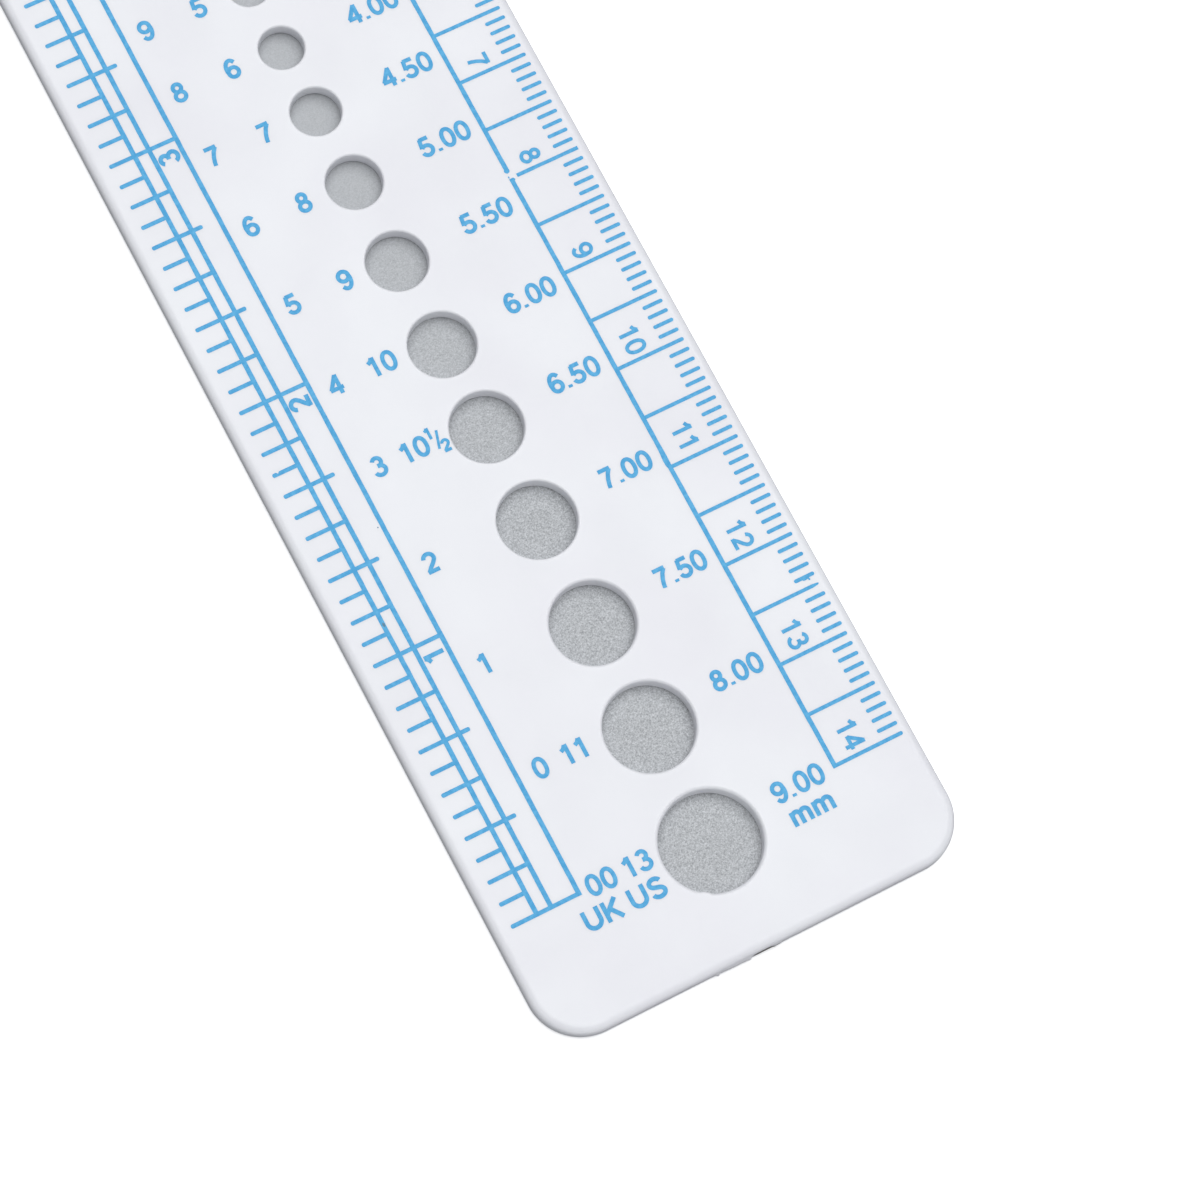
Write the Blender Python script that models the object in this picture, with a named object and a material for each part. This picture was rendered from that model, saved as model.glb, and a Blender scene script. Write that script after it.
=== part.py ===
"""Knitting needle gauge: one moulded plastic plate with a row of graduated holes.

Metres, +Z up. The plate lies on its back. The origin is the middle of its underside,
+Y runs along the row from the widest hole to the narrowest, and +Z leaves the printed face.
"""

import math

import bmesh
import bpy

MM = 0.001

# Plate
PLATE_LENGTH = 162.6 * MM
PLATE_WIDTH = 40.7 * MM
PLATE_THICKNESS = 1.5 * MM
CORNER_RADIUS = 4.9 * MM
CORNER_STEPS = 9
FACE_EDGE_RADIUS = 0.6 * MM         # soft edge round the printed face
FACE_EDGE_STEPS = 4
BACK_EDGE_RADIUS = 0.2 * MM         # small edge round the underside
BACK_EDGE_STEPS = 2

# Holes: the needle each one gauges, and the web of plastic on to the next, both in millimetres
ROW_START = 10.3 * MM               # from the plate's end to the middle of the first hole
ROW_END_MARGIN = 6.0 * MM           # least plastic past the last hole
HOLE_ROW = (
    (9.00, 2.7),
    (8.00, 2.6),
    (7.50, 3.1),
    (7.00, 2.7),
    (6.50, 2.2),
    (6.00, 2.9),
    (5.50, 3.0),
    (5.00, 2.7),
    (4.50, 2.5),
    (4.00, 2.7),
    (3.75, 2.7),
    (3.50, 2.7),
    (3.25, 2.7),
    (3.00, 2.7),
    (2.75, 2.7),
    (2.50, 2.7),
    (2.25, 2.7),
    (2.00, 2.7),
)
NEEDLE_CLEARANCE = 0.04 * MM        # on the diameter, at the hole's narrow end
HOLE_DRAFT = math.radians(3.0)      # the moulding pin's taper, widening towards the printed face
FACE_RIM_RADIUS = 0.3 * MM          # rounding at the hole's mouth in the printed face
FACE_RIM_STEPS = 3
BACK_RIM_CHAMFER = 0.12 * MM
HOLE_FACET = 0.5 * MM               # aimed length of one facet round a hole
LEAST_HOLE_FACETS = 24

# Gate: the stub left where the runner was trimmed off the end of the plate
GATE_WIDTH = 6.2 * MM
GATE_OFFSET = -1.7 * MM             # from the plate's middle line to the stub's middle
GATE_HEIGHT = 0.5 * MM
GATE_LIFT = 0.3 * MM                # from the underside to the stub
GATE_PROUD = 0.16 * MM              # at the end where the cutters left it longest
GATE_PROUD_FAR = 0.06 * MM
GATE_ROOT = 0.8 * MM                # how far it is rooted in the plate

PLASTIC_COLOUR = (0.84, 0.86, 0.90, 1.0)
PLASTIC_ROUGHNESS = 0.38


def clear_scene():
    for old in list(bpy.data.objects):
        bpy.data.objects.remove(old, do_unlink=True)


def white_plastic():
    material = bpy.data.materials.new("white_plastic")
    material.use_nodes = True
    shader = material.node_tree.nodes["Principled BSDF"]
    shader.inputs["Base Color"].default_value = PLASTIC_COLOUR
    shader.inputs["Roughness"].default_value = PLASTIC_ROUGHNESS
    shader.inputs["Metallic"].default_value = 0.0
    return material


def object_from(bm, name):
    bmesh.ops.recalc_face_normals(bm, faces=bm.faces)
    mesh = bpy.data.meshes.new(name)
    bm.to_mesh(mesh)
    bm.free()
    obj = bpy.data.objects.new(name, mesh)
    bpy.context.scene.collection.objects.link(obj)
    return obj


def tool_from(bm, name):
    """A shape that only cuts or adds to the plate, and is not part of the model."""
    obj = object_from(bm, name)
    obj.hide_render = True
    obj.display_type = "WIRE"
    return obj


def plate_outline(inset):
    """The plate's rounded rectangle, drawn in by `inset`, counter-clockwise from above."""
    radius = CORNER_RADIUS - inset
    reach_x = PLATE_WIDTH / 2 - CORNER_RADIUS
    reach_y = PLATE_LENGTH / 2 - CORNER_RADIUS
    points = []
    for quarter, (side_x, side_y) in enumerate(((1, 1), (-1, 1), (-1, -1), (1, -1))):
        for step in range(CORNER_STEPS + 1):
            angle = math.pi / 2 * (quarter + step / CORNER_STEPS)
            x = side_x * reach_x + radius * math.cos(angle)
            y = side_y * reach_y + radius * math.sin(angle)
            points.append((x, y))
    return points


def edge_section():
    """The plate's edge from the underside up: pairs of inset and height."""
    section = []
    for step in range(BACK_EDGE_STEPS + 1):
        angle = math.pi / 2 * step / BACK_EDGE_STEPS
        inset = BACK_EDGE_RADIUS * (1 - math.sin(angle))
        height = BACK_EDGE_RADIUS * (1 - math.cos(angle))
        section.append((inset, height))
    for step in range(FACE_EDGE_STEPS + 1):
        angle = math.pi / 2 * step / FACE_EDGE_STEPS
        inset = FACE_EDGE_RADIUS * (1 - math.cos(angle))
        height = PLATE_THICKNESS - FACE_EDGE_RADIUS * (1 - math.sin(angle))
        section.append((inset, height))
    return section


def plate_body():
    bm = bmesh.new()
    rings = []
    for inset, height in edge_section():
        rings.append([bm.verts.new((x, y, height)) for x, y in plate_outline(inset)])
    for lower, upper in zip(rings, rings[1:]):
        for i in range(len(lower)):
            j = (i + 1) % len(lower)
            bm.faces.new((lower[i], lower[j], upper[j], upper[i]))
    bm.faces.new(reversed(rings[0]))
    bm.faces.new(rings[-1])
    return object_from(bm, "gauge_plate")


def hole_places():
    """Each hole that fits on the plate: its needle size and its place along the row."""
    y = ROW_START - PLATE_LENGTH / 2
    last_y = PLATE_LENGTH / 2 - ROW_END_MARGIN
    places = []
    for i, (size, web) in enumerate(HOLE_ROW):
        if y + size / 2 * MM > last_y:
            break
        places.append((size * MM, y))
        if i + 1 < len(HOLE_ROW):
            y += (size / 2 + web + HOLE_ROW[i + 1][0] / 2) * MM
    return places


def hole_section(size):
    """Half of a hole's section from above the printed face down: pairs of radius and height."""
    back_radius = (size + NEEDLE_CLEARANCE) / 2
    face_radius = back_radius + PLATE_THICKNESS * math.tan(HOLE_DRAFT)
    rim = []
    for step in range(FACE_RIM_STEPS):
        angle = math.pi / 2 * step / FACE_RIM_STEPS
        radius = face_radius + FACE_RIM_RADIUS * (1 - math.cos(angle))
        height = PLATE_THICKNESS - FACE_RIM_RADIUS * (1 - math.sin(angle))
        rim.append((radius, height))
    # The last facet of the rim runs on past the face, so that the cut is clean there.
    last_radius, last_height = rim[-1]
    over_radius = 2 * (face_radius + FACE_RIM_RADIUS) - last_radius
    over_height = 2 * PLATE_THICKNESS - last_height
    section = [(over_radius, over_height + PLATE_THICKNESS), (over_radius, over_height)]
    section.extend(reversed(rim))
    section.append((back_radius, BACK_RIM_CHAMFER))
    section.append((back_radius + 2 * BACK_RIM_CHAMFER, -BACK_RIM_CHAMFER))
    section.append((back_radius + 2 * BACK_RIM_CHAMFER, -PLATE_THICKNESS))
    return section


def add_hole_cutter(bm, size, y):
    """One turned plug: the hole's section swept round the hole's own axis."""
    facets = max(LEAST_HOLE_FACETS, 4 * round(math.pi * size / HOLE_FACET / 4))
    rings = []
    for radius, height in hole_section(size):
        ring = []
        for i in range(facets):
            angle = 2 * math.pi * i / facets
            ring.append(bm.verts.new((radius * math.cos(angle), y + radius * math.sin(angle), height)))
        rings.append(ring)
    for upper, lower in zip(rings, rings[1:]):
        for i in range(facets):
            j = (i + 1) % facets
            bm.faces.new((lower[i], lower[j], upper[j], upper[i]))
    bm.faces.new(rings[0])
    bm.faces.new(reversed(rings[-1]))


def hole_cutters():
    bm = bmesh.new()
    for size, y in hole_places():
        add_hole_cutter(bm, size, y)
    return tool_from(bm, "hole_cutters")


def gate_stub():
    """A low wedge on the plate's end, sheared off at a slant."""
    bm = bmesh.new()
    end_y = -PLATE_LENGTH / 2
    low, high = GATE_LIFT, GATE_LIFT + GATE_HEIGHT
    left, right = GATE_OFFSET - GATE_WIDTH / 2, GATE_OFFSET + GATE_WIDTH / 2
    plan = (
        (left, end_y + GATE_ROOT),
        (left, end_y - GATE_PROUD_FAR),
        (GATE_OFFSET, end_y - GATE_PROUD),
        (right, end_y - GATE_PROUD_FAR),
        (right, end_y + GATE_ROOT),
    )
    bottom = [bm.verts.new((x, y, low)) for x, y in plan]
    top = [bm.verts.new((x, y, high)) for x, y in plan]
    for i in range(len(plan)):
        j = (i + 1) % len(plan)
        bm.faces.new((bottom[i], bottom[j], top[j], top[i]))
    bm.faces.new(reversed(bottom))
    bm.faces.new(top)
    return tool_from(bm, "gate_stub")


def add_boolean(plate, tool, operation):
    boolean = plate.modifiers.new(tool.name, "BOOLEAN")
    boolean.operation = operation
    boolean.object = tool
    boolean.solver = "EXACT"


def build():
    clear_scene()
    plate = plate_body()
    plate.data.materials.append(white_plastic())
    add_boolean(plate, gate_stub(), "UNION")
    add_boolean(plate, hole_cutters(), "DIFFERENCE")
    return plate


build()
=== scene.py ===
import math
import random

import bpy
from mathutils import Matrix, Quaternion, Vector, geometry, noise


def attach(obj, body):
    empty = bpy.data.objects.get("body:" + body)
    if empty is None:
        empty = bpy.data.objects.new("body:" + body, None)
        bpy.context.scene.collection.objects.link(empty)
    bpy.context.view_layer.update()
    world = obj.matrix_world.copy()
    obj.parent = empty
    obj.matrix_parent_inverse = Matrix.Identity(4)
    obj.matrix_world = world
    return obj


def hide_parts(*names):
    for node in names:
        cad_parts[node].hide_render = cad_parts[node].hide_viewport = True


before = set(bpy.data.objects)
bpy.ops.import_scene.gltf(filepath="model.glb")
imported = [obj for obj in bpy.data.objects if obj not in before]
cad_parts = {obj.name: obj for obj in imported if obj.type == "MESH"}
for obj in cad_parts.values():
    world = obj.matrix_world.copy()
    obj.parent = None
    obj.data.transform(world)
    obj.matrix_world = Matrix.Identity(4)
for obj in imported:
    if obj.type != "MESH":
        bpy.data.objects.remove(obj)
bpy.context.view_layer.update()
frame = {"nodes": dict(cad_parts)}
bpy.context.scene.view_settings.view_transform = "Standard"    # white plastic stays white
mm = 0.001
print("frame loaded:", ", ".join(frame["nodes"]))


def linear(hexCode):
    # sRGB hex to the linear colour that the shaders work in
    knee, slope, lift, power = 0.04045, 12.92, 0.055, 2.4
    shares = [int(hexCode[i:i + 2], 16) / 255 for i in (1, 3, 5)]
    return [s / slope if s <= knee else ((s + lift) / (1 + lift)) ** power for s in shares] + [1.0]


def addNode(tree, kind, inputs=None, **settings):
    # a node with its settings; each input is given a value, a socket or another node's first output
    node = tree.nodes.new(kind)
    for name, value in settings.items():
        setattr(node, name, value)
    for name, value in (inputs or {}).items():
        if isinstance(value, bpy.types.Node):
            value = value.outputs[0]
        if isinstance(value, bpy.types.NodeSocket):
            tree.links.new(value, node.inputs[name])
        else:
            node.inputs[name].default_value = value
    return node


def newMaterial(name, fixed):
    material = bpy.data.materials.new(name)
    material.use_nodes = True
    shader = material.node_tree.nodes["Principled BSDF"]
    for socket, value in fixed.items():
        shader.inputs[socket].default_value = value
    return material, material.node_tree, shader


def perMetre(sizeInMm):
    # a pattern of this size in millimetres, as the texture scale that draws it
    return 1 / (sizeInMm * mm)


plastic = {
    "light": "#D7D9DE",         # the moulding's own white, a little cool
    "deep": "#D4D5DB",          # where the melt met, a shade deeper
    # painted shade and grime for the recess of the torn gate
    "shadeAndGrime": "#4F4B45",
    "cloud": 14.0,              # millimetres from one such shade to the next
    "cloudRange": (0.35, 0.65),             # the part of its noise that goes from light to deep
    "sheen": (0.34, 0.44),      # roughness: a polished mould, handled since
    "sheenRange": (0.3, 0.7),
    "sheenPatch": 6.0,
    "peel": (3.2, 0.35, 0.012),             # the skin's soft waves: spacing, strength and depth
    "grain": (0.16, 0.3, 0.002),            # the mould's fine finish, in the same way
    "scuff": (0.10, 5.0),       # width and length of a hairline
    "scuffTurns": ((0.5, 0.0), (-0.9, 0.031)),          # two ways that they run, in radians and metres
    "scuffPeaks": (0.70, 0.78),             # only the peaks of the noise show as hairlines
    "scuffDull": 0.12,          # added to the roughness there
    "scuffDent": (0.4, 0.002),  # strength and depth
    "shadeAndGrimeAt": (0.10, -81.30, 0.38),        # in the recess of the torn gate, where shade falls: painted shade and grime
    "shadeAndGrimeReach": (1.75, 0.30, 0.46),
    "shadeAndGrimeSolid": 0.6,          # the share of its reach where it is at its darkest
    "soak": 0.35,               # share of the light that goes into the plastic and comes out nearby
    "soakDepth": 0.8,
}


def mouldedPolystyrene():
    # High-impact polystyrene, injection moulded against polished steel: an even cool white whose
    # # broad soft highlight wavers a little, with hairlines from use that only the gloss shows, and painted
    # shade with grime darkening the recess of the torn gate
    material, tree, shader = newMaterial("mouldedPolystyrene", {
        "IOR": 1.59, "Metallic": 0.0, "Subsurface Weight": plastic["soak"],
        "Subsurface Radius": (1.0, 1.0, 1.0), "Subsurface Scale": plastic["soakDepth"] * mm})
    place = addNode(tree, "ShaderNodeTexCoord").outputs["Object"]
    clouds = addNode(tree, "ShaderNodeTexNoise", {"Vector": place, "Scale": perMetre(plastic["cloud"])})
    depth = addNode(tree, "ShaderNodeMapRange", {
        "Value": clouds, "From Min": plastic["cloudRange"][0], "From Max": plastic["cloudRange"][1]})
    colour = addNode(tree, "ShaderNodeMix", {
        "Factor": depth, "A": linear(plastic["light"]), "B": linear(plastic["deep"])}, data_type="RGBA")

    # painted shade and grime: a soft flat dark patch in the recess of the torn gate
    centre = [-c * mm for c in plastic["shadeAndGrimeAt"]]
    moved = addNode(tree, "ShaderNodeVectorMath", {0: place, 1: centre}, operation="ADD")
    scaled = addNode(tree, "ShaderNodeVectorMath", {
        0: moved, 1: [c * mm for c in plastic["shadeAndGrimeReach"]]}, operation="DIVIDE")
    away = addNode(tree, "ShaderNodeVectorMath", {0: scaled}, operation="LENGTH").outputs["Value"]
    shadeAndGrimeMask = addNode(tree, "ShaderNodeMapRange", {
        "Value": away, "From Min": 1.0, "From Max": plastic["shadeAndGrimeSolid"]})
    shadedAndSoiled = addNode(tree, "ShaderNodeMix", {
        "Factor": shadeAndGrimeMask, "A": colour.outputs["Result"], "B": linear(plastic["shadeAndGrime"])}, data_type="RGBA")
    tree.links.new(shadedAndSoiled.outputs["Result"], shader.inputs["Base Color"])

    # hairlines: a noise drawn out along two slanted directions, kept only at its peaks
    width, length = plastic["scuff"]
    low, high = plastic["scuffPeaks"]
    hairs = []
    for turn, shift in plastic["scuffTurns"]:
        drawn = addNode(tree, "ShaderNodeMapping", {
            "Vector": place, "Location": (shift, shift, 0.0), "Rotation": (0.0, 0.0, turn),
            "Scale": (width / length, 1.0, 1.0)})
        streaks = addNode(tree, "ShaderNodeTexNoise", {
            "Vector": drawn, "Scale": perMetre(width), "Detail": 1.0})
        hairs.append(addNode(tree, "ShaderNodeMapRange", {
            "Value": streaks, "From Min": low, "From Max": high}))
    scuffs = addNode(tree, "ShaderNodeMath", dict(enumerate(hairs)), operation="MAXIMUM")

    patches = addNode(tree, "ShaderNodeTexNoise", {
        "Vector": place, "Scale": perMetre(plastic["sheenPatch"]), "Detail": 3.0})
    sheen = addNode(tree, "ShaderNodeMapRange", {
        "Value": patches, "From Min": plastic["sheenRange"][0], "From Max": plastic["sheenRange"][1],
        "To Min": plastic["sheen"][0], "To Max": plastic["sheen"][1]})
    worn = addNode(tree, "ShaderNodeMath", {
        0: scuffs, 1: plastic["scuffDull"], 2: sheen}, operation="MULTIPLY_ADD")
    tree.links.new(worn.outputs[0], shader.inputs["Roughness"])

    spacing, strength, deep = plastic["peel"]
    waves = addNode(tree, "ShaderNodeTexNoise", {
        "Vector": place, "Scale": perMetre(spacing), "Detail": 1.0})
    peel = addNode(tree, "ShaderNodeBump", {"Height": waves, "Strength": strength, "Distance": deep * mm})
    spacing, strength, deep = plastic["grain"]
    pores = addNode(tree, "ShaderNodeTexNoise", {"Vector": place, "Scale": perMetre(spacing)})
    grain = addNode(tree, "ShaderNodeBump", {
        "Height": pores, "Strength": strength, "Distance": deep * mm, "Normal": peel})
    strength, deep = plastic["scuffDent"]
    scratched = addNode(tree, "ShaderNodeBump", {
        "Height": scuffs, "Strength": strength, "Distance": deep * mm, "Normal": grain}, invert=True)
    tree.links.new(scratched.outputs["Normal"], shader.inputs["Normal"])
    return material


ink = {
    "core": "#2C91C6",          # where the ink lies thick
    "thin": "#50A5D4",          # where the white shows through
    "mottle": 0.5,              # millimetres between thick and thin
    "mottleRange": (0.38, 0.66),            # the part of its noise that goes from thick to thin
    "mesh": (0.12, 0.4, 0.002), # the screen's threads: spacing, strength and depth
    "dull": (0.46, 0.58),       # roughness
    "dullRange": (0.3, 0.7),
}


def screenInk():
    # Screen-printed solvent ink on polystyrene: a flat sky blue that is thinner in patches,
    # so it looks slightly mottled, and duller than the moulded face round it
    material, tree, shader = newMaterial("screenPrintedInk", {"IOR": 1.45, "Metallic": 0.0})
    place = addNode(tree, "ShaderNodeTexCoord").outputs["Object"]
    patches = addNode(tree, "ShaderNodeTexNoise", {
        "Vector": place, "Scale": perMetre(ink["mottle"]), "Detail": 3.0, "Roughness": 0.6})
    thinness = addNode(tree, "ShaderNodeMapRange", {
        "Value": patches, "From Min": ink["mottleRange"][0], "From Max": ink["mottleRange"][1]})
    colour = addNode(tree, "ShaderNodeMix", {
        "Factor": thinness, "A": linear(ink["core"]), "B": linear(ink["thin"])}, data_type="RGBA")
    tree.links.new(colour.outputs["Result"], shader.inputs["Base Color"])
    dull = addNode(tree, "ShaderNodeMapRange", {
        "Value": patches, "From Min": ink["dullRange"][0], "From Max": ink["dullRange"][1],
        "To Min": ink["dull"][0], "To Max": ink["dull"][1]})
    tree.links.new(dull.outputs[0], shader.inputs["Roughness"])
    spacing, strength, deep = ink["mesh"]
    threads = addNode(tree, "ShaderNodeTexNoise", {
        "Vector": place, "Scale": perMetre(spacing), "Detail": 1.0})
    bump = addNode(tree, "ShaderNodeBump", {"Height": threads, "Strength": strength, "Distance": deep * mm})
    tree.links.new(bump.outputs["Normal"], shader.inputs["Normal"])
    return material


dust = {"dark": "#3B6B88", "pale": "#6B8FA6", "fibre": 0.08, "rough": 0.8}


def trappedDust():
    # Dust caught in the wet print: a blue-grey stain, quite matt
    material, tree, shader = newMaterial("trappedDust", {
        "IOR": 1.5, "Metallic": 0.0, "Roughness": dust["rough"]})
    place = addNode(tree, "ShaderNodeTexCoord").outputs["Object"]
    fibres = addNode(tree, "ShaderNodeTexNoise", {"Vector": place, "Scale": perMetre(dust["fibre"])})
    colour = addNode(tree, "ShaderNodeMix", {
        "Factor": fibres, "A": linear(dust["dark"]), "B": linear(dust["pale"])}, data_type="RGBA")
    tree.links.new(colour.outputs["Result"], shader.inputs["Base Color"])
    return material


plasticFinish = mouldedPolystyrene()
inkFinish = screenInk()
dustFinish = trappedDust()
print("materials mixed")


def finishPiece(mesh, name, material):
    mesh.materials.append(material)
    piece = bpy.data.objects.new(name, mesh)
    bpy.context.scene.collection.objects.link(piece)
    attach(piece, "root")
    return piece


# The plate, in millimetres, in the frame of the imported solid: its length, width, thickness and the
# places of the holes are the solid's, and the soft edge, the walls of the holes and their mouths are finer
plate = {
    "length": 162.6,
    "width": 40.7,
    "thickness": 1.5,
    "cornerRadius": 4.9,
    "cornerSteps": 24,
    "faceEdge": 0.85,           # soft edge round the printed face: how far in it starts,
    "faceSlope": 20.0,          # the degrees that it first leans,
    "slopeRun": 0.1,            # how long it stays so,
    "faceCurve": 0.6,           # and the radius of its turn down into the wall
    "faceEdgeSteps": (3, 7),
    "backEdge": 0.2,            # small edge round the underside
    "backEdgeSteps": 4,
    "film": 0.012,              # the plastic ends this much low, so that the ink ends level with the solid
    "atEnd": 0.01,              # this near to the end is on the end
    "weld": 1e-7,               # points closer than this are one
}
holes = {
    "rowStart": 10.3,           # from the plate's end to the first hole
    "needles": [9.00, 8.00, 7.50, 7.00, 6.50, 6.00, 5.50, 5.00, 4.50,
                4.00, 3.75, 3.50, 3.25, 3.00, 2.75, 2.50, 2.25, 2.00],
    "webs": [2.7, 2.6, 3.1, 2.7, 2.2, 2.9, 3.0, 2.7, 2.5] + [2.7] * 9,
    "clearance": 0.04,
    "draft": 1.5,               # degrees
    "faceRims": [0.34, 0.28, 0.28] + [0.20] * 15,       # rounding of each mouth
    "faceRimSteps": 6,
    "backChamfer": 0.12,
    "facet": 0.25,
    "leastFacets": 48,
}
burr = {                        # a sliver of flash that leans into the widest hole
    "angle": 235.5,
    "spread": 6.0,              # degrees
    "squareness": 4,
    "reach": 0.22,
    "depth": 0.35,              # how far down the wall it fades
    "least": 0.004,             # with less lean than this the wall keeps its turned shading
}
gate = {                        # where the runner was snipped off the near end: place along X and how proud
    "profile": [(-4.95, 0.0), (-4.90, 0.14), (-4.72, 0.16), (-4.62, 0.03), (-4.40, 0.06), (-3.20, 0.10),
                (-1.90, 0.12), (-1.80, 0.16), (-1.62, 0.15), (-1.50, 0.02), (-1.20, -0.07), (-0.45, -0.10),
                (0.30, -0.07), (0.55, 0.03), (0.70, 0.09), (0.95, 0.05), (1.30, 0.06), (1.45, 0.0)],
    "low": 0.3,
    "high": 0.86,
    "shoulder": 0.03,
    "around": 0.1,              # flat shading goes this far past it
    "ragged": (0.8, 0.2, 0.1),  # of its height: the sure share, what the tear takes and what is put back
    "raggedness": (4, 6),       # waves of the tear in a millimetre, along and up
    "step": 0.08,
    "rows": 10,
}


def between(points, x):
    # the value at x on a line of straight runs
    for (x0, v0), (x1, v1) in zip(points, points[1:]):
        if x0 <= x <= x1:
            return v0 + (v1 - v0) * (x - x0) / (x1 - x0)
    return 0.0


def holePlaces():
    y = holes["rowStart"] - plate["length"] / 2
    places = []
    for i, (needle, web, rim) in enumerate(zip(holes["needles"], holes["webs"], holes["faceRims"])):
        places.append((needle, rim, y))
        if i + 1 < len(holes["needles"]):
            y += needle / 2 + web + holes["needles"][i + 1] / 2
    return places


def plateOutline():
    # the rounded rectangle, anticlockwise: x, y and the way out
    reachX = plate["width"] / 2 - plate["cornerRadius"]
    reachY = plate["length"] / 2 - plate["cornerRadius"]
    steps = plate["cornerSteps"]
    path = []
    for quarter, (sideX, sideY) in enumerate(((1, 1), (-1, 1), (-1, -1), (1, -1))):
        for step in range(steps + 1):
            angle = math.pi / 2 * (quarter + step / steps)
            outX, outY = math.cos(angle), math.sin(angle)
            radius = plate["cornerRadius"]
            path.append((sideX * reachX + radius * outX, sideY * reachY + radius * outY, outX, outY))
        if quarter == 2:        # the near end is divided finely where the gate was
            past = 2 * gate["around"]
            first, last = gate["profile"][0][0] - past, gate["profile"][-1][0] + past
            count = round((last - first) / gate["step"])
            for i in range(count + 1):
                path.append((first + (last - first) * i / count, -plate["length"] / 2, 0.0, -1.0))
    return path


def plateSection(top):
    # the edge from the underside up: inset, height and the way that it faces, from -90 down to 90 up
    section = []
    for step in range(plate["backEdgeSteps"] + 1):
        angle = math.pi / 2 * step / plate["backEdgeSteps"]
        inset, height = 1 - math.sin(angle), 1 - math.cos(angle)
        section.append((-plate["backEdge"] * inset, plate["backEdge"] * height, angle - math.pi / 2))
    slope = math.radians(plate["faceSlope"])
    curve, run = plate["faceCurve"], plate["slopeRun"]
    brink = curve * (1 - math.sin(slope)) + run * math.cos(slope)       # how far in the slope reaches
    broad = (plate["faceEdge"] - brink) / math.sin(slope)               # radius of the turn into the face
    wallTop = top - curve * math.cos(slope) - run * math.sin(slope) - broad * (1 - math.cos(slope))
    for row in range(1, gate["rows"]):
        section.append((0.0, plate["backEdge"] + (wallTop - plate["backEdge"]) * row / gate["rows"], 0.0))
    upper, lower = plate["faceEdgeSteps"]
    for step in range(lower + 1):
        angle = (math.pi / 2 - slope) * step / lower
        section.append((-curve * (1 - math.cos(angle)), wallTop + curve * math.sin(angle), angle))
    for step in range(upper + 1):
        angle = math.pi / 2 - slope * (1 - step / upper)
        inset = plate["faceEdge"] - broad * math.cos(angle)
        section.append((-inset, top - broad * (1 - math.sin(angle)), angle))
    return section


def holeSection(needle, rim, top):
    # the wall from the underside up: minus its radius, height and the way that it faces
    back = (needle + holes["clearance"]) / 2
    draft = math.radians(holes["draft"])
    face = back + plate["thickness"] * math.tan(draft)
    chamfer = holes["backChamfer"]
    down = -math.pi / 4
    section = [(-(back + chamfer), 0.0, down), (-back, chamfer, down), (-back, chamfer, draft)]
    for step in range(holes["faceRimSteps"] + 1):
        angle = math.pi / 2 * step / holes["faceRimSteps"]
        radius = face + rim * (1 - math.cos(angle))
        section.append((-radius, top - rim * (1 - math.sin(angle)), angle or draft))
    return section


def gateProud(x, y, z):
    # how far the snipped gate stands out of the near end, torn a little ragged
    if y > -plate["length"] / 2 + plate["atEnd"]:
        return 0.0
    shoulder = gate["shoulder"]
    rise = min(1.0, max(0.0, (z - gate["low"] + shoulder) / shoulder))
    fall = min(1.0, max(0.0, (gate["high"] + shoulder - z) / shoulder))
    proud = between(gate["profile"], x) * min(rise, fall)
    sure, torn, back = gate["ragged"]
    along, up = gate["raggedness"]
    ragged = sure + torn * noise.noise(Vector((x * along, 0.0, z * up)))
    return proud * min(1.0, ragged + back)


def burrReach(needle, angle, depth):
    if needle < holes["needles"][0]:
        return 0.0
    away = (math.degrees(angle) - burr["angle"] + 180) % 360 - 180
    lean = math.exp(-(away / burr["spread"]) ** burr["squareness"])
    return burr["reach"] * lean * max(0.0, 1 - depth / burr["depth"])


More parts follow.
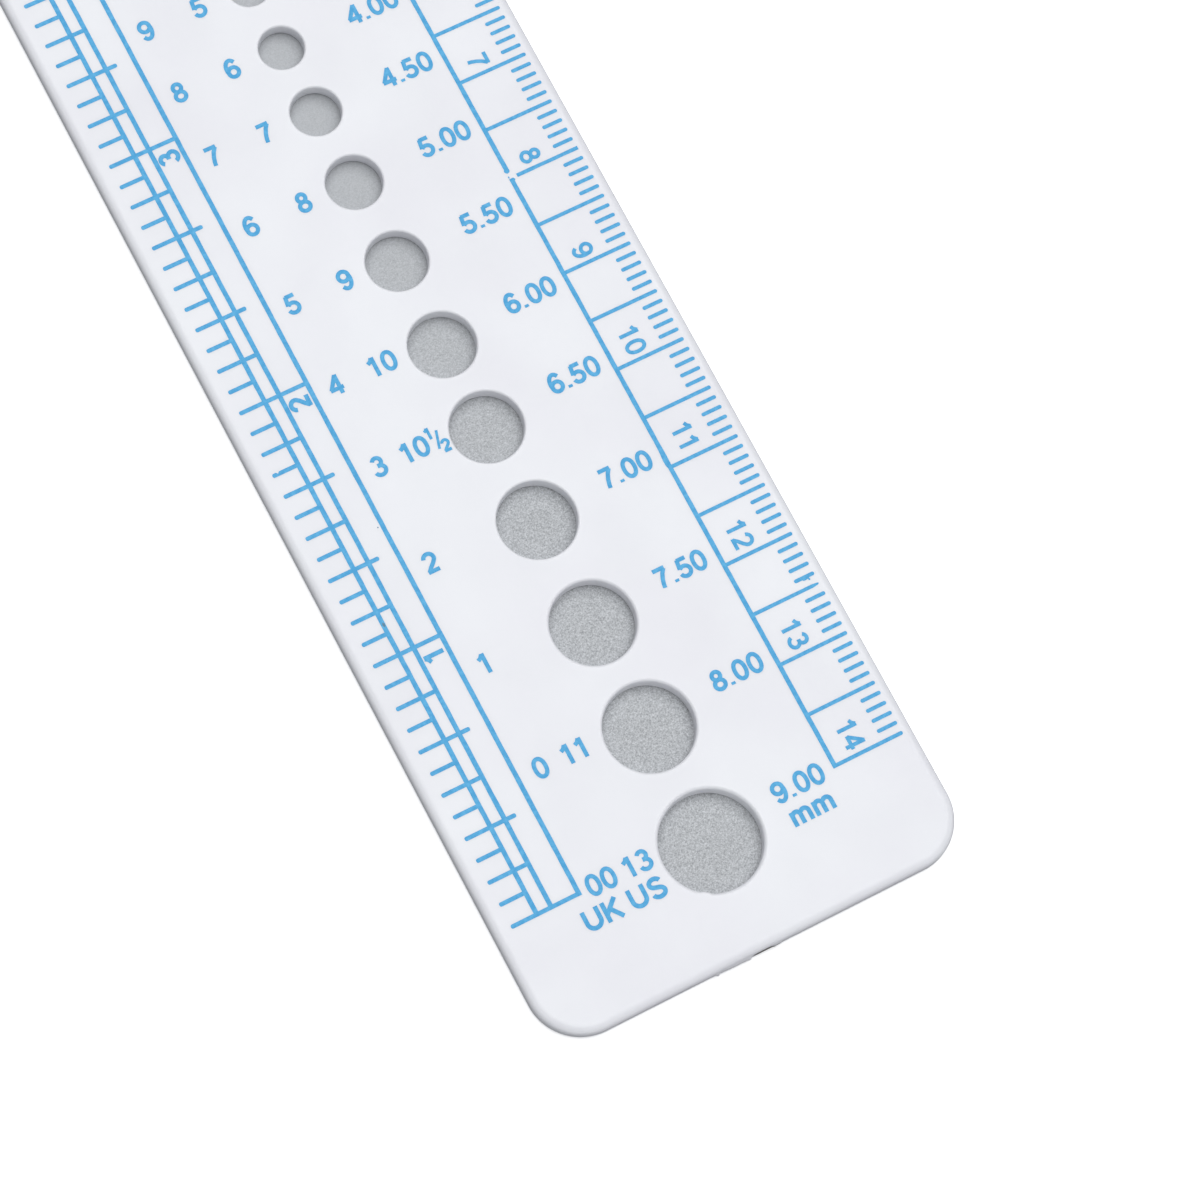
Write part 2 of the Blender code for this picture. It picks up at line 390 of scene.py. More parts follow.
def makePlate():
    top = plate["thickness"] - plate["film"]
    points, faces, facings = [], [], []

    def addRing(ring):
        points.extend(ring)
        return list(range(len(points) - len(ring), len(points)))

    def joinRings(lower, upper, lowerFacing, upperFacing):
        count = len(lower)
        for i in range(count):
            j = (i + 1) % count
            faces.append((lower[i], lower[j], upper[j], upper[i]))
            facings.extend((lowerFacing[i], lowerFacing[j], upperFacing[j], upperFacing[i]))

    def sweep(path, section, shift=None):
        # carries the section round the path: a repeated place in the section is a crease
        lowest, previous = None, None
        for offset, height, angle in section:
            level, rise = math.cos(angle), math.sin(angle)
            facing = [(outX * level, outY * level, rise) for _, _, outX, outY in path]
            if previous and previous["place"] == (offset, height):
                previous["facing"] = facing
                continue
            ring = [(x + outX * offset, y + outY * offset, height) for x, y, outX, outY in path]
            if shift:
                moved = [shift(i, point) for i, point in enumerate(ring)]
                facing = [(0.0, 0.0, 0.0) if flag else f for (_, flag), f in zip(moved, facing)]
                ring = [point for point, _ in moved]
            made = {"place": (offset, height), "ids": addRing(ring), "facing": facing}
            if previous:
                joinRings(previous["ids"], made["ids"], previous["facing"], made["facing"])
            else:
                lowest = made["ids"]
            previous = made
        return lowest, previous["ids"]

    def shiftGate(i, point):
        x, y, z = point
        past = gate["around"]
        across = gate["profile"][0][0] - past < x < gate["profile"][-1][0] + past
        upward = gate["low"] - past < z < gate["high"] + past
        near = y < -plate["length"] / 2 + plate["atEnd"] and across and upward
        return (x, y - gateProud(x, y, z), z), near

    bottomLoops, topLoops = [], []
    outline = plateOutline()
    lowest, highest = sweep(outline, plateSection(top), shiftGate)
    bottomLoops.append(lowest)
    topLoops.append(highest)
    for needle, rim, y in holePlaces():
        # in fours, so that a point lies straight out on each side
        count = max(holes["leastFacets"], 4 * math.ceil(math.pi * needle / holes["facet"] / 4))
        angles = [-2 * math.pi * i / count for i in range(count)]
        path = [(0.0, y, -math.cos(a), -math.sin(a)) for a in angles]

        def shiftBurr(i, point, needle=needle, angles=angles):
            x, y, z = point
            lean = burrReach(needle, angles[i], top - z)
            moved = (x - lean * math.cos(angles[i]), y - lean * math.sin(angles[i]), z)
            return moved, lean > burr["least"]

        lowest, highest = sweep(path, holeSection(needle, rim, top), shiftBurr)
        bottomLoops.append(lowest)
        topLoops.append(highest)

    # the two flats, between the outline and the mouths of the holes
    for loops, up in ((topLoops, True), (bottomLoops, False)):
        ids = [i for loop in loops for i in loop]
        flat = [Vector(points[i][:2]) for i in ids]
        rings, start = [], 0
        for k, loop in enumerate(loops):
            ring = list(range(start, start + len(loop)))
            rings.append(ring if k == 0 else ring[::-1])
            start += len(loop)
        found, _, cells, origins, _, owners = geometry.delaunay_2d_cdt(flat, [], rings, 1, plate["weld"])
        for cell, owner in zip(cells, owners):
            if owner == [0]:
                corners = [ids[origins[c][0]] for c in cell]
                faces.append(corners if up else corners[::-1])
                facings.extend([(0.0, 0.0, 1.0 if up else -1.0)] * len(corners))

    mesh = bpy.data.meshes.new("gauge_body")
    mesh.from_pydata([[c * mm for c in point] for point in points], [], faces)
    mesh.polygons.foreach_set("use_smooth", [True] * len(faces))
    mesh.normals_split_custom_set(facings)
    mesh.update()
    return finishPiece(mesh, "gauge_body", plasticFinish)


body = makePlate()
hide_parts("gauge_plate")
print("plate moulded:", len(body.data.polygons), "faces")


# The print, in millimetres on the face
face = {
    "level": 1.5,               # top of the ink
    "root": 1.480,              # the ink is sunk this deep, so that its underside never shows
    "lineDrop": 0.001,          # the inch lines lie this much lower than the dust on them
    "tickDrop": 0.002,          # ticks lie this much lower, under the long lines that they meet
    "weld": 1e-6,               # points closer than this are one
}
pen = {
    "turn": 12,                 # degrees from one point of a curve to the next
    "mitre": 0.5,               # holds back the corner of a sharp turn
    "halves": ((60, 300), (240, 480)),      # a loop is two arcs that overlap
}


def extrudeFlat(flat, cells, low, high):
    # a closed film over flat triangles
    count = len(flat)
    points = [(x, y, low) for x, y in flat] + [(x, y, high) for x, y in flat]
    faces, sides = [], {}
    for cell in cells:
        faces.append([c + count for c in cell])
        faces.append(list(cell)[::-1])
        for a, b in zip(cell, cell[1:] + cell[:1]):
            if (b, a) in sides:
                del sides[(b, a)]
            else:
                sides[(a, b)] = True
    for a, b in sides:
        faces.append((a, b, b + count, a + count))
    return points, faces


def unite(polygons):
    # overlapping anticlockwise outlines become one flat net of triangles
    flat, rings = [], []
    for polygon in polygons:
        rings.append(list(range(len(flat), len(flat) + len(polygon))))
        flat.extend(Vector(p) for p in polygon)
    found, _, cells, _, _, owners = geometry.delaunay_2d_cdt(flat, [], rings, 1, face["weld"])
    kept = [list(cell) for cell, owner in zip(cells, owners) if owner]
    used = sorted({c for cell in kept for c in cell})
    place = {c: i for i, c in enumerate(used)}
    return [tuple(found[c]) for c in used], [[place[c] for c in cell] for cell in kept]


def makeFilm(name, shapes, material=None, low=None, high=None):
    # one mesh from flat nets, each already where it belongs
    low = face["root"] if low is None else low
    high = face["level"] if high is None else high
    points, faces = [], []
    for flat, cells in shapes:
        start = len(points)
        morePoints, moreFaces = extrudeFlat(flat, cells, low, high)
        points.extend(morePoints)
        faces.extend([c + start for c in f] for f in moreFaces)
    mesh = bpy.data.meshes.new(name)
    mesh.from_pydata([[c * mm for c in point] for point in points], [], faces)
    mesh.update()
    return finishPiece(mesh, name, material or inkFinish)


def ribbon(line, width):
    # the outline of a stroke along a line of points, anticlockwise, with square ends
    left, right = [], []
    for i, point in enumerate(line):
        here = Vector(point)
        before = (here - Vector(line[i - 1])).normalized() if i else None
        after = (Vector(line[i + 1]) - here).normalized() if i + 1 < len(line) else None
        along = ((before or after) + (after or before)).normalized()
        across = Vector((-along.y, along.x))
        turn = across.dot(Vector((-(after or before).y, (after or before).x)))
        reach = width / 2 / max(pen["mitre"], turn)
        left.append(tuple(here + across * reach))
        right.append(tuple(here - across * reach))
    return right + left[::-1]


def arc(x, y, radiusX, radiusY, start, end, square=1.0):
    # part of an ellipse, in degrees; a squareness under 1 fills its corners
    count = max(3, round(abs(end - start) / pen["turn"]))
    line = []
    for i in range(count + 1):
        angle = math.radians(start + (end - start) * i / count)
        across, up = math.cos(angle), math.sin(angle)
        line.append((x + radiusX * math.copysign(abs(across) ** square, across),
                     y + radiusY * math.copysign(abs(up) ** square, up)))
    return line


def ring(x, y, radiusX, radiusY, square=1.0):
    return [arc(x, y, radiusX, radiusY, start, end, square) for start, end in pen["halves"]]


# Plain grotesque lettering: each sign's width and the middle lines of its strokes, in cap heights
six = ring(0.400, 0.315, 0.250, 0.250) + [arc(0.405, 0.50, 0.275, 0.445, 40, 214)]
signs = {
    "0": (0.777, ring(0.389, 0.5, 0.262, 0.438, 0.92)),
    "1": (0.777, [[(0.457, 0.0), (0.457, 1.0)], [(0.175, 0.735), (0.330, 0.815), (0.440, 0.965)]]),
    "2": (0.777, [arc(0.385, 0.690, 0.250, 0.245, 172, -28)
                  + [(0.500, 0.445), (0.300, 0.265), (0.130, 0.065)],
                  [(0.075, 0.068), (0.660, 0.068)]]),
    "3": (0.777, [arc(0.365, 0.725, 0.212, 0.207, 158, -90) + [(0.320, 0.518)],
                  [(0.320, 0.535)] + arc(0.370, 0.295, 0.262, 0.236, 90, -168)]),
    "4": (0.777, [[(0.530, 0.0), (0.530, 1.0)], [(0.545, 0.975), (0.080, 0.300)],
                  [(0.035, 0.300), (0.715, 0.300)]]),
    "5": (0.777, [[(0.200, 0.925), (0.640, 0.925)], [(0.228, 0.960), (0.158, 0.470)],
                  arc(0.375, 0.315, 0.265, 0.255, 142, -165)]),
    "6": (0.777, six),
    "7": (0.777, [[(0.090, 0.932), (0.700, 0.932)],
                  [(0.660, 0.900), (0.500, 0.680), (0.390, 0.430), (0.320, 0.180), (0.295, 0.0)]]),
    "8": (0.777, ring(0.389, 0.735, 0.200, 0.202) + ring(0.389, 0.290, 0.252, 0.232)),
    "9": (0.777, [[(0.778 - x, 1.0 - y) for x, y in line] for line in six]),
    ".": (0.388, [[(0.195, 0.0), (0.195, 0.14)]]),
    "m": (1.163, [[(0.155, 0.0), (0.155, 0.72)],
                  arc(0.360, 0.470, 0.195, 0.190, 150, 0) + [(0.555, 0.0)],
                  arc(0.785, 0.470, 0.200, 0.190, 150, 0) + [(0.985, 0.0)]]),
    "U": (1.008, [[(0.165, 1.0), (0.165, 0.390)] + arc(0.504, 0.385, 0.339, 0.320, 180, 360)
                  + [(0.843, 0.390), (0.843, 1.0)]]),
    "K": (0.931, [[(0.170, 0.0), (0.170, 1.0)], [(0.830, 1.0), (0.180, 0.380)],
                  [(0.400, 0.600), (0.860, 0.0)]]),
    "S": (0.931, [arc(0.460, 0.735, 0.275, 0.202, 15, 250) + arc(0.470, 0.280, 0.305, 0.218, 75, -170)]),
}
lettering = {"cap": 1.85, "stroke": 0.206, "bold": 0.219, "light": 0.186, "pairGap": {"11": -0.1}}
signNets = {}


def signNet(sign, stroke):
    if (sign, stroke) not in signNets:
        outlines = [ribbon(line, stroke) for line in signs[sign][1]]
        signNets[(sign, stroke)] = unite(outlines)
    return signNets[(sign, stroke)]


def textWidth(text, cap):
    pairs = sum(lettering["pairGap"].get(text[i:i + 2], 0.0) for i in range(len(text) - 1))
    return sum(signs[sign][0] for sign in text) * cap + pairs


def setText(text, x, y, along=(1, 0), cap=None, stroke=None):
    # flat nets of a line of text that starts at x, y on its baseline and runs the given way
    cap = cap or lettering["cap"]
    up = (-along[1], along[0])
    nets = []
    for i, sign in enumerate(text):
        flat, cells = signNet(sign, stroke or lettering["stroke"])
        placed = []
        for u, v in flat:
            placed.append((x + cap * (u * along[0] + v * up[0]), y + cap * (u * along[1] + v * up[1])))
        nets.append((placed, cells))
        step = signs[sign][0] * cap + lettering["pairGap"].get(text[i:i + 2], 0.0)
        x, y = x + step * along[0], y + step * along[1]
    return nets


# Columns of the size table, and each row: millimetres, UK size, US size, where that ends, and how
# far the row is above the middle of its hole
table = {
    "mmMiddle": 9.05,
    "ukMiddle": -10.07,
    "headUk": (-13.15, -73.42),
    "headUs": (-8.82, -73.46),
    "headMm": -73.25,
    "headMmShift": 0.05,
    "rows": [
        ("9.00", "00", "13", -5.21, 1.10), ("8.00", "0", "11", -5.40, 0.97), ("7.50", "1", "", 0.0, 0.90),
        ("7.00", "2", "", 0.0, 0.65), ("6.50", "3", "10", -5.24, 0.90), ("6.00", "4", "10", -4.16, 0.72),
        ("5.50", "5", "9", -4.19, 0.39), ("5.00", "6", "8", -4.19, 0.20), ("4.50", "7", "7", -4.24, 0.08),
        ("4.00", "8", "6", -4.15, 0.06), ("3.75", "9", "5", -4.19, 0.03), ("3.50", "", "4", -4.19, 0.3),
        ("3.25", "10", "3", -4.19, 0.3), ("3.00", "11", "", 0.0, 0.3), ("2.75", "12", "2", -4.19, 0.3),
        ("2.50", "", "", 0.0, 0.3), ("2.25", "13", "1", -4.19, 0.3), ("2.00", "14", "0", -4.19, 0.3),
    ],
    "halfRow": "6.50",          # this row's US size has a half after it
    "half": {"one": (-5.36, -28.55, 1.10), "two": (-4.38, -30.13, 1.12), "stroke": 0.25,
             "slash": [(-4.63, -29.65), (-4.14, -28.00)], "slashWidth": 0.24},
}


def makeTable():
    nets = []
    cap = lettering["cap"]
    for (_, _, y), (size, uk, us, usEnd, lift) in zip(holePlaces(), table["rows"]):
        base = y + lift - cap / 2
        nets += setText(size, table["mmMiddle"] - textWidth(size, cap) / 2, base)
        nets += setText(uk, table["ukMiddle"] - textWidth(uk, cap) / 2, base)
        nets += setText(us, usEnd - textWidth(us, cap), base)
        if size == table["halfRow"]:
            half = table["half"]
            for sign, key in (("1", "one"), ("2", "two")):
                x, low, height = half[key]
                nets += setText(sign, x, low, cap=height, stroke=half["stroke"])
            nets.append(unite([ribbon(half["slash"], half["slashWidth"])]))
    bold = lettering["bold"]
    headMiddle = table["mmMiddle"] + table["headMmShift"]
    nets += setText("UK", *table["headUk"], stroke=bold)
    nets += setText("US", *table["headUs"], stroke=bold)
    nets += setText("mm", headMiddle - textWidth("mm", cap) / 2, table["headMm"], stroke=bold)
    return makeFilm("ink_size_table", nets)


makeTable()
print("size table printed")


# Centimetres run down the right side from a zero near the far end, inches up the left side
centimetres = {
    "inner": 12.65,             # long line
    "outer": 19.37,             # where the ticks end
    "shortFrom": 17.40,
    "from": -70.0,
    "count": 141,
    "spacing": 1.0,
    "tickWidth": 0.35,
    "lineWidth": 0.42,
    "every": (5, 1000, 1000),
    "skip": (60, 15),           # the ticks at 8 cm and at 12.5 cm, which makeCentimetreLines draws
    "wander": 0.015,
    "seed": 7,
    "figures": 14,
    "perFigure": 10,
    "figureBase": 14.27,
    "figureGap": 0.42,          # from the end of a number to its line
    "figureLift": {11: 0.20, 12: 0.10, 7: 0.10},     # given one by one, so some stand a hair further off
    "figureLiftRest": 0.05,
    "gap": (-0.05, 0.62),       # at the 8 cm tick the screen let the line drop out, from here to here
    "gapBlots": [(-0.02, 0.75, 0.27, 0.24), (0.08, -0.22, 0.24, 0.18), (-0.15, 0.13, 0.07, 0.11)],
    "gapTick": 0.60,            # from the line to what is left of that tick
    "thickSpan": (-40.0, -38.2),            # the line runs thick here
    "thick": [(0.09, -39.2), (0.08, -39.7)],
    "taper": [(18.7, -0.175), (19.2, -0.10), (19.32, 0.0), (19.2, 0.08), (18.7, 0.15)],
    "dragged": [(18.48, -54.08, 0.42, 0.23), (18.72, -54.32, 0.09, 0.12)],
}
inches = {
    "outer": -18.75,
    "lines": (-16.28, -14.89, -12.26),
    "thirdTo": -13.85,
    "from": -70.0,
    "count": 67,
    "spacing": 25.4 / 12,
    "tickWidth": 0.39,
    "lineWidth": 0.43,
    "every": (2, 4, 12),
    "skip": (21, -1),           # the nicked tick, which makeInchLines draws round its middle line
    "nicked": [(-18.67, -0.195), (-16.3, -0.195), (-16.3, 0.195), (-18.05, 0.195), (-18.20, 0.04),
               (-18.36, 0.195), (-18.65, 0.195), (-18.75, 0.08), (-18.75, -0.08)],
    "wander": 0.015,
    "seed": 11,
    "zeroTo": -12.05,
    "figures": 5,
    "perFigure": 12,
    "figureBase": -12.70,
    "figureGap": 0.70,
}


def tickTree():
    # ticks of four lengths along a line, the longer ones at every so many, all from one outer end
    tree = bpy.data.node_groups.new("rulerTicks", "GeometryNodeTree")
    interface = tree.interface
    sockets = {}
    for name, kind, value in (
        ("Count", "Int", 10), ("Start", "Vector", (0, 0, 0)), ("Spacing", "Float", 0.001),
        ("Length", "Float", 0.001), ("Second Length", "Float", 0.001), ("Third Length", "Float", 0.001),
        ("Longest", "Float", 0.001), ("Second Every", "Int", 2), ("Third Every", "Int", 4),
        ("Longest Every", "Int", 12), ("Width", "Float", 0.0003), ("Corner", "Float", 0.00016),
        ("Film", "Float", 0.00002), ("Side", "Float", 1.0), ("Skip A", "Int", -1), ("Skip B", "Int", -1),
        ("Wander", "Float", 0.00001), ("Seed", "Int", 1), ("Ink", "Material", None),
    ):
        socket = interface.new_socket(name=name, in_out="INPUT", socket_type="NodeSocket" + kind)
        if value is not None:
            socket.default_value = value
        sockets[name] = socket.identifier
    interface.new_socket(name="Geometry", in_out="OUTPUT", socket_type="NodeSocketGeometry")
    given = addNode(tree, "NodeGroupInput").outputs

    step = addNode(tree, "ShaderNodeCombineXYZ", {"Y": given["Spacing"]})
    line = addNode(tree, "GeometryNodeMeshLine", {
        "Count": given["Count"], "Start Location": given["Start"], "Offset": step}, mode="OFFSET")
    index = addNode(tree, "GeometryNodeInputIndex").outputs[0]

    # one closed slab for each length, its outer end at the point
    slabs = []
    for name in ("Length", "Second Length", "Third Length", "Longest"):
        outline = addNode(tree, "GeometryNodeCurvePrimitiveQuadrilateral", {
            "Width": given[name], "Height": given["Width"]})
        rounded = addNode(tree, "GeometryNodeFilletCurve", {
            "Curve": outline, "Radius": given["Corner"], "Count": 4}, mode="POLY")
        flat = addNode(tree, "GeometryNodeFillCurve", {"Curve": rounded}, mode="NGONS")
        lid = addNode(tree, "GeometryNodeExtrudeMesh", {"Mesh": flat, "Offset Scale": given["Film"]})
        base = addNode(tree, "GeometryNodeFlipFaces", {"Mesh": flat})
        both = addNode(tree, "GeometryNodeJoinGeometry")
        tree.links.new(lid.outputs[0], both.inputs[0])
        tree.links.new(base.outputs[0], both.inputs[0])
        closed = addNode(tree, "GeometryNodeMergeByDistance", {"Geometry": both, "Distance": 1e-6})
        half = addNode(tree, "ShaderNodeMath", {0: given[name], 1: 0.5}, operation="MULTIPLY")
        sided = addNode(tree, "ShaderNodeMath", {0: half, 1: given["Side"]}, operation="MULTIPLY")
        shift = addNode(tree, "ShaderNodeCombineXYZ", {"X": sided})
        placed = addNode(tree, "GeometryNodeTransform", {"Geometry": closed, "Translation": shift})
        slabs.append(addNode(tree, "GeometryNodeGeometryToInstance", {"Geometry": placed}))
    choices = addNode(tree, "GeometryNodeJoinGeometry")
    for slab in reversed(slabs):
        tree.links.new(slab.outputs[0], choices.inputs[0])

    # the choice: 0 for a plain tick, and one more for each count that it is a multiple of
    rank = 0.0
    for name in ("Second Every", "Third Every", "Longest Every"):
        rest = addNode(tree, "ShaderNodeMath", {0: index, 1: given[name]}, operation="MODULO")
        even = addNode(tree, "FunctionNodeCompare", {2: rest, 3: 0}, data_type="INT", operation="EQUAL")
        rank = addNode(tree, "ShaderNodeMath", {0: rank, 1: even}, operation="ADD")
    first, second = (addNode(tree, "FunctionNodeCompare", {
        2: index, 3: given[name]}, data_type="INT", operation="EQUAL") for name in ("Skip A", "Skip B"))
    kept = addNode(tree, "FunctionNodeBooleanMath", {0: first, 1: second}, operation="NOR")
    ticks = addNode(tree, "GeometryNodeInstanceOnPoints", {
        "Points": line, "Selection": kept, "Instance": choices,
        "Pick Instance": True, "Instance Index": rank})

    # the squeegee drags each tick a hair off its place
    reach = []
    for corner in ((-1.0, -0.6, 0.0), (1.0, 0.6, 0.0)):
        reach.append(addNode(tree, "ShaderNodeVectorMath", {
            0: corner, "Scale": given["Wander"]}, operation="SCALE"))
    drift = addNode(tree, "FunctionNodeRandomValue", {
        0: reach[0], 1: reach[1], "Seed": given["Seed"]}, data_type="FLOAT_VECTOR")
    moved = addNode(tree, "GeometryNodeTranslateInstances", {"Instances": ticks, "Translation": drift})
    real = addNode(tree, "GeometryNodeRealizeInstances", {"Geometry": moved})
    inked = addNode(tree, "GeometryNodeSetMaterial", {"Geometry": real, "Material": given["Ink"]})
    addNode(tree, "NodeGroupOutput", {0: inked})
    return tree, sockets


rulerTicks, tickSockets = tickTree()


def makeTicks(name, values):
    holder = bpy.data.objects.new(name + "_points", bpy.data.meshes.new(name + "_points"))
    bpy.context.scene.collection.objects.link(holder)
    modifier = holder.modifiers.new("rulerTicks", "NODES")
    modifier.node_group = rulerTicks
    for socket, value in values.items():
        modifier[tickSockets[socket]] = value
    evaluated = holder.evaluated_get(bpy.context.evaluated_depsgraph_get())
    mesh = bpy.data.meshes.new_from_object(evaluated)
    mesh.name = name
    holder.modifiers.remove(modifier)
    bpy.data.objects.remove(holder)
    mesh.materials.clear()
    return finishPiece(mesh, name, inkFinish)


filmDepth = (face["level"] - face["tickDrop"] - face["root"]) * mm
for name, ruler, side, ends in (
    ("ink_cm_ticks", centimetres, -1.0, [centimetres["shortFrom"]] + [centimetres["inner"]] * 3),
    ("ink_inch_ticks", inches, 1.0, [*inches["lines"][:2], inches["thirdTo"], inches["lines"][2]]),
):
    lengths = [abs(end - ruler["outer"]) * mm for end in ends]
    makeTicks(name, {
        "Count": ruler["count"],
        "Start": (ruler["outer"] * mm, ruler["from"] * mm, face["root"] * mm),
        "Spacing": ruler["spacing"] * mm,
        "Length": lengths[0], "Second Length": lengths[1],
        "Third Length": lengths[2], "Longest": lengths[3],
        "Second Every": ruler["every"][0],
        "Third Every": ruler["every"][1],
        "Longest Every": ruler["every"][2],
        "Width": ruler["tickWidth"] * mm, "Film": filmDepth, "Side": side,
        "Skip A": ruler["skip"][0], "Skip B": ruler["skip"][1],
        "Wander": ruler["wander"] * mm, "Seed": ruler["seed"], "Ink": inkFinish,
    })
print("ticks printed")


rough = random.Random(4)        # wavers the edges of the print, the same in each run


def bar(x0, x1, y0, y1, grain=0.012, step=0.8):
    # a straight printed bar whose edges waver by a hair
    corners = [(x0, y0), (x1, y0), (x1, y1), (x0, y1)]
    outline = []
    for (ax, ay), (bx, by) in zip(corners, corners[1:] + corners[:1]):
        length = math.hypot(bx - ax, by - ay)
        count = max(1, round(length / step))
        for i in range(count):
            share = i / count
            x, y = ax + (bx - ax) * share, ay + (by - ay) * share
            if i:
                x += rough.uniform(-grain, grain) * (abs(by - ay) > abs(bx - ax))
                y += rough.uniform(-grain, grain) * (abs(by - ay) < abs(bx - ax))
            outline.append((x, y))
    return outline


def blot(x, y, radiusX, radiusY, uneven=0.15, count=14):
    outline = []
    for i in range(count):
        angle = 2 * math.pi * i / count
        swell = 1 + rough.uniform(-uneven, uneven)
        outline.append((x + radiusX * swell * math.cos(angle), y + radiusY * swell * math.sin(angle)))
    return outline


def makeCentimetreLines():
    inner, half = centimetres["inner"], centimetres["lineWidth"] / 2
    tick = centimetres["tickWidth"] / 2
    first = centimetres["from"] - tick
    last = centimetres["from"] + centimetres["count"] - 1 + tick
    broken, tapered = (centimetres["from"] + index * centimetres["spacing"] for index in centimetres["skip"])
    below, above = centimetres["gap"]
    low, high = centimetres["thickSpan"]
    outlines = [
        bar(inner - half, inner + half, first, broken + below),
        bar(inner - half, inner + half, broken + above, last),
        *(blot(inner + x, broken + y, wide, tall) for x, y, wide, tall in centimetres["gapBlots"]),
        bar(inner + centimetres["gapTick"], centimetres["outer"], broken - tick, broken + tick),
        [(inner, low), (inner, high), (inner - half, high),
         *((inner - half - out, y) for out, y in centimetres["thick"]), (inner - half, low)],
        # the tick at 12.5 cm tapers, and the one above it was dragged
        [(inner, tapered - tick), *((x, tapered + y) for x, y in centimetres["taper"]),
         (inner, tapered + tick)],
        *(blot(*drag) for drag in centimetres["dragged"]),
    ]
    return makeFilm("ink_cm_lines", [unite(outlines)])


def makeInchLines():
    first = inches["from"] - inches["tickWidth"] / 2
    last = inches["from"] + (inches["count"] - 1) * inches["spacing"] + inches["tickWidth"] / 2
    outlines = []
    for x in inches["lines"]:
        outlines.append(bar(x - inches["lineWidth"] / 2, x + inches["lineWidth"] / 2, first, last))
    width = inches["tickWidth"] / 2
    zero = inches["from"]
    outlines.append(bar(inches["lines"][2], inches["zeroTo"], zero - width, zero + width))
    nicked = zero + inches["skip"][0] * inches["spacing"]
    outlines.append([(x, nicked + y) for x, y in inches["nicked"]])
    return makeFilm("ink_inch_lines", [unite(outlines)], high=face["level"] - face["lineDrop"])


def makeFigures():
    # numbers of the two rulers, each standing sideways by its line
    cap = lettering["cap"]
    nets = []
    for number in range(1, centimetres["figures"] + 1):
        text = str(number)
        line = centimetres["from"] + (centimetres["figures"] - number) * centimetres["perFigure"]
        lift = centimetres["figureLift"].get(number, centimetres["figureLiftRest"])
        start = line + centimetres["figureGap"] + lift + textWidth(text, cap)
        nets += setText(text, centimetres["figureBase"], start, along=(0, -1), stroke=lettering["light"])
    for number in range(1, inches["figures"] + 1):
        text = str(number)
        line = inches["from"] + number * inches["perFigure"] * inches["spacing"]
        start = line - inches["figureGap"] - textWidth(text, cap)
        nets += setText(text, inches["figureBase"], start, along=(0, 1), stroke=lettering["bold"])
    return makeFilm("ink_ruler_figures", nets)


# Dust in the print: where each speck lies, and its radii
specks = [(-12.70, -33.65, 0.065, 0.06), (-16.24, -41.65, 0.12, 0.20)]


def makeSpecks():
    return makeFilm("print_specks", [unite([blot(*speck) for speck in specks])], dustFinish)


makeCentimetreLines()
makeInchLines()
makeFigures()
makeSpecks()
print("rulers printed")


# The stage: a pale table with a grained grey card under the plate, a broad softbox, a low strip and
# the camera of the photograph
stage = {
    "size": 8.0,
    "pale": "#FAFBFC",
    "glow": 0.35,               # the table's own light, so that it stays white up to the plate
    "toneDark": "#828588",      # the grained card that shows through the holes
    "tonePale": "#C9CCD0",
    "around": "#8F9194",        # the same card beyond the plate, in the plate's own shade
    "cardInset": 0.1,           # millimetres that it stays inside the plate's outline
    "rough": 0.7,
    "grain": 0.13,
    "grainRange": (0.3, 0.7),   # the part of its noise that goes from dark to pale
    "grainMiddle": 0.5,
    "grainFade": (-0.038, -0.002, 0.3),     # metres along Y from where to where it softens, and what is left
    "drop": 0.05,               # millimetres under the plate
    "lightSize": (1.3, 1.3),
    "lightPlace": (0.22, 0.16, 1.12),
    "lightPower": 14.7,
    "frontSize": (0.60, 0.16),
    "frontPlace": (-0.22, -0.62, 0.15),
    "frontPower": 0.7,
    "fill": 0.36,
}
view = {                        # metres and degrees
    "place": (-0.081905, -0.128925, 0.369369),
    "aim": (0.001481, -0.047934, 0.0015),
    "roll": 18.686,
    "lens": 134.336,
    "sensor": 36.0,
    "clip": (0.01, 30.0),
}


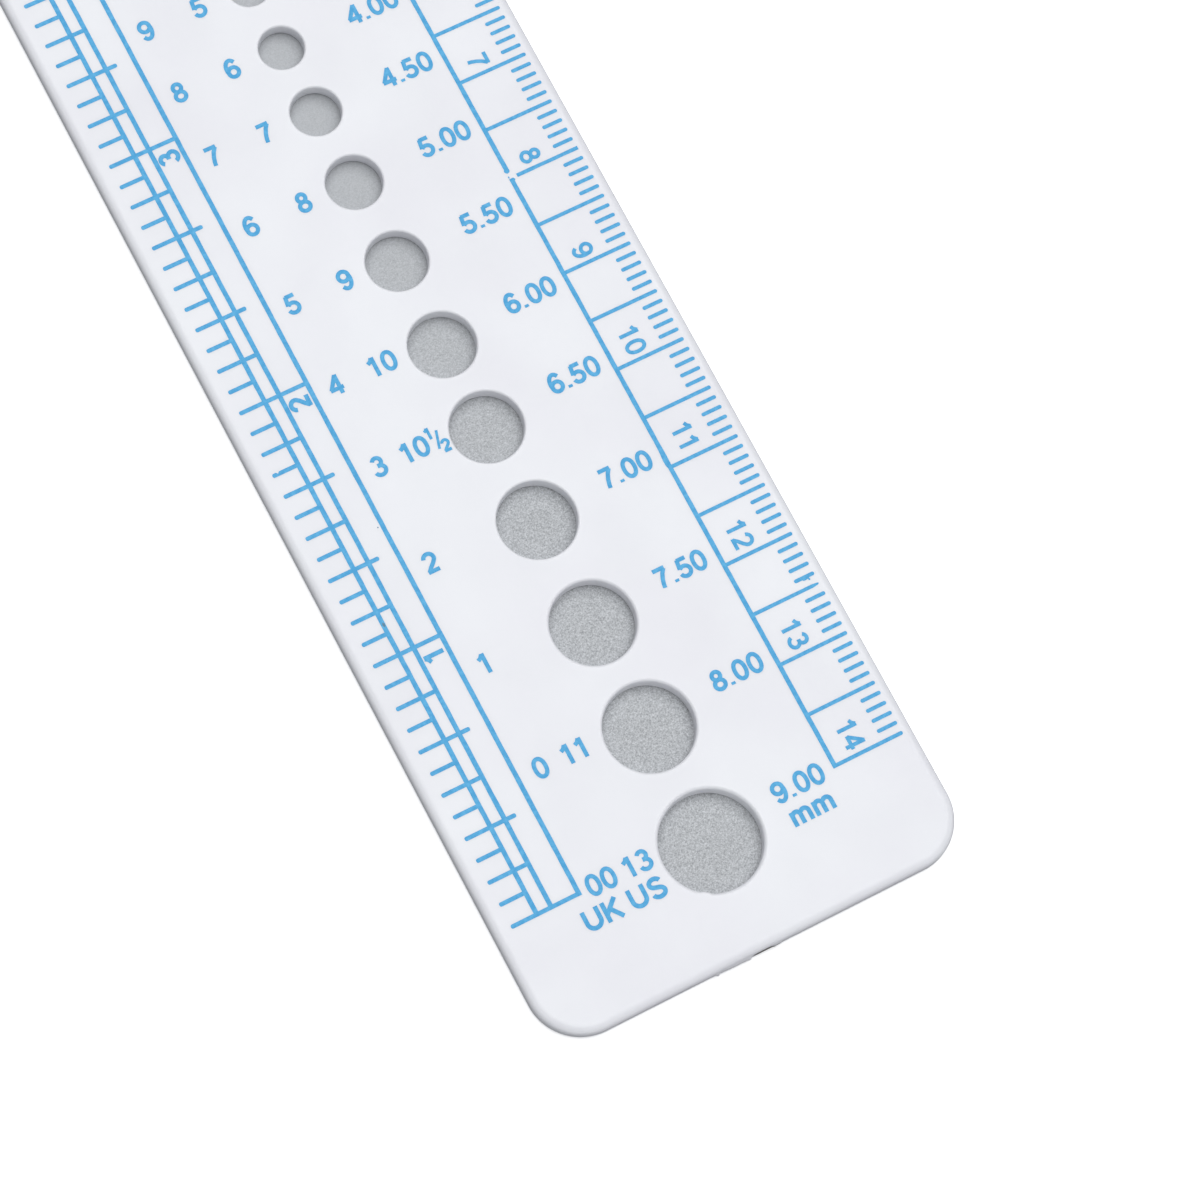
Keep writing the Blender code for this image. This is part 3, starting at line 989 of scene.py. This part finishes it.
def stageFinish():
    # a grained grey card that shows through the holes and lights the plate's edges, and that the eye
    # alone sees as a plain white table all round the plate
    material, tree, shader = newMaterial("paleTable", {"Roughness": stage["rough"], "IOR": 1.45})
    place = addNode(tree, "ShaderNodeTexCoord").outputs["Object"]
    reach = [(plate[side] / 2 - plate["cornerRadius"]) * mm for side in ("width", "length")]
    folded = addNode(tree, "ShaderNodeVectorMath", {0: place}, operation="ABSOLUTE")
    beyond = addNode(tree, "ShaderNodeVectorMath", {
        0: folded, 1: (reach[0], reach[1], 1.0)}, operation="SUBTRACT")
    outside = addNode(tree, "ShaderNodeVectorMath", {0: beyond, 1: (0.0, 0.0, 0.0)}, operation="MAXIMUM")
    away = addNode(tree, "ShaderNodeVectorMath", {0: outside}, operation="LENGTH").outputs["Value"]
    limit = (plate["cornerRadius"] - stage["cardInset"]) * mm
    under = addNode(tree, "ShaderNodeMath", {0: away, 1: limit}, operation="LESS_THAN")
    fibres = addNode(tree, "ShaderNodeTexNoise", {
        "Vector": place, "Scale": perMetre(stage["grain"]), "Detail": 3.0, "Roughness": 0.7})
    low, high = stage["grainRange"]
    depth = addNode(tree, "ShaderNodeMapRange", {"Value": fibres, "From Min": low, "From Max": high})
    along = addNode(tree, "ShaderNodeSeparateXYZ", {0: place}).outputs["Y"]
    near, far, left = stage["grainFade"]
    strength = addNode(tree, "ShaderNodeMapRange", {
        "Value": along, "From Min": near, "From Max": far, "To Min": 1.0, "To Max": left})
    softened = addNode(tree, "ShaderNodeMix", {"Factor": strength, "A": stage["grainMiddle"], "B": depth})
    card = addNode(tree, "ShaderNodeMix", {
        "Factor": softened, "A": linear(stage["toneDark"]),
        "B": linear(stage["tonePale"])}, data_type="RGBA")
    unseen = addNode(tree, "ShaderNodeMix", {
        "Factor": under, "A": linear(stage["around"]), "B": card.outputs["Result"]}, data_type="RGBA")
    seen = addNode(tree, "ShaderNodeLightPath").outputs["Is Camera Ray"]
    bare = addNode(tree, "ShaderNodeMath", {0: seen, 1: under}, operation="GREATER_THAN")
    colour = addNode(tree, "ShaderNodeMix", {
        "Factor": bare, "A": unseen.outputs["Result"], "B": linear(stage["pale"])}, data_type="RGBA")
    tree.links.new(colour.outputs["Result"], shader.inputs["Base Color"])
    lit = addNode(tree, "ShaderNodeMath", {0: bare, 1: stage["glow"]}, operation="MULTIPLY")
    tree.links.new(lit.outputs[0], shader.inputs["Emission Strength"])
    shader.inputs["Emission Color"].default_value = linear(stage["pale"])
    return material


def addSoftbox(name, size, place, power):
    lamp = bpy.data.lights.new(name, "AREA")
    lamp.shape = "RECTANGLE"
    lamp.size, lamp.size_y = size
    lamp.energy = power
    softbox = bpy.data.objects.new(name, lamp)
    softbox.location = place
    softbox.rotation_mode = "QUATERNION"
    softbox.rotation_quaternion = (-softbox.location).to_track_quat("-Z", "Y")
    bpy.context.scene.collection.objects.link(softbox)


def makeStage():
    reach = stage["size"] / 2
    corners = [(-reach, -reach), (reach, -reach), (reach, reach), (-reach, reach)]
    mesh = bpy.data.meshes.new("table_top")
    mesh.from_pydata([(x, y, -stage["drop"] * mm) for x, y in corners], [], [(0, 1, 2, 3)])
    mesh.materials.append(stageFinish())
    floor = bpy.data.objects.new("table_top", mesh)
    bpy.context.scene.collection.objects.link(floor)

    # a broad softbox over it, and a low strip in front that reaches the walls of the holes
    addSoftbox("softbox", stage["lightSize"], stage["lightPlace"], stage["lightPower"])
    addSoftbox("front_strip", stage["frontSize"], stage["frontPlace"], stage["frontPower"])

    world = bpy.data.worlds.new("studio")
    world.use_nodes = True
    sky = world.node_tree.nodes["Background"]
    sky.inputs["Color"].default_value = linear("#FFFFFF")
    sky.inputs["Strength"].default_value = stage["fill"]
    bpy.context.scene.world = world


def makeCamera():
    lens = bpy.data.cameras.new("camera")
    lens.sensor_width = view["sensor"]
    lens.lens = view["lens"]
    lens.clip_start, lens.clip_end = view["clip"]
    camera = bpy.data.objects.new("camera", lens)
    camera.location = view["place"]
    aim = Vector(view["aim"]) - Vector(view["place"])
    camera.rotation_mode = "QUATERNION"
    tilt = Quaternion((0.0, 0.0, 1.0), math.radians(view["roll"]))
    camera.rotation_quaternion = aim.to_track_quat("-Z", "Y") @ tilt
    bpy.context.scene.collection.objects.link(camera)
    bpy.context.scene.camera = camera


makeStage()
makeCamera()
print("stage set")
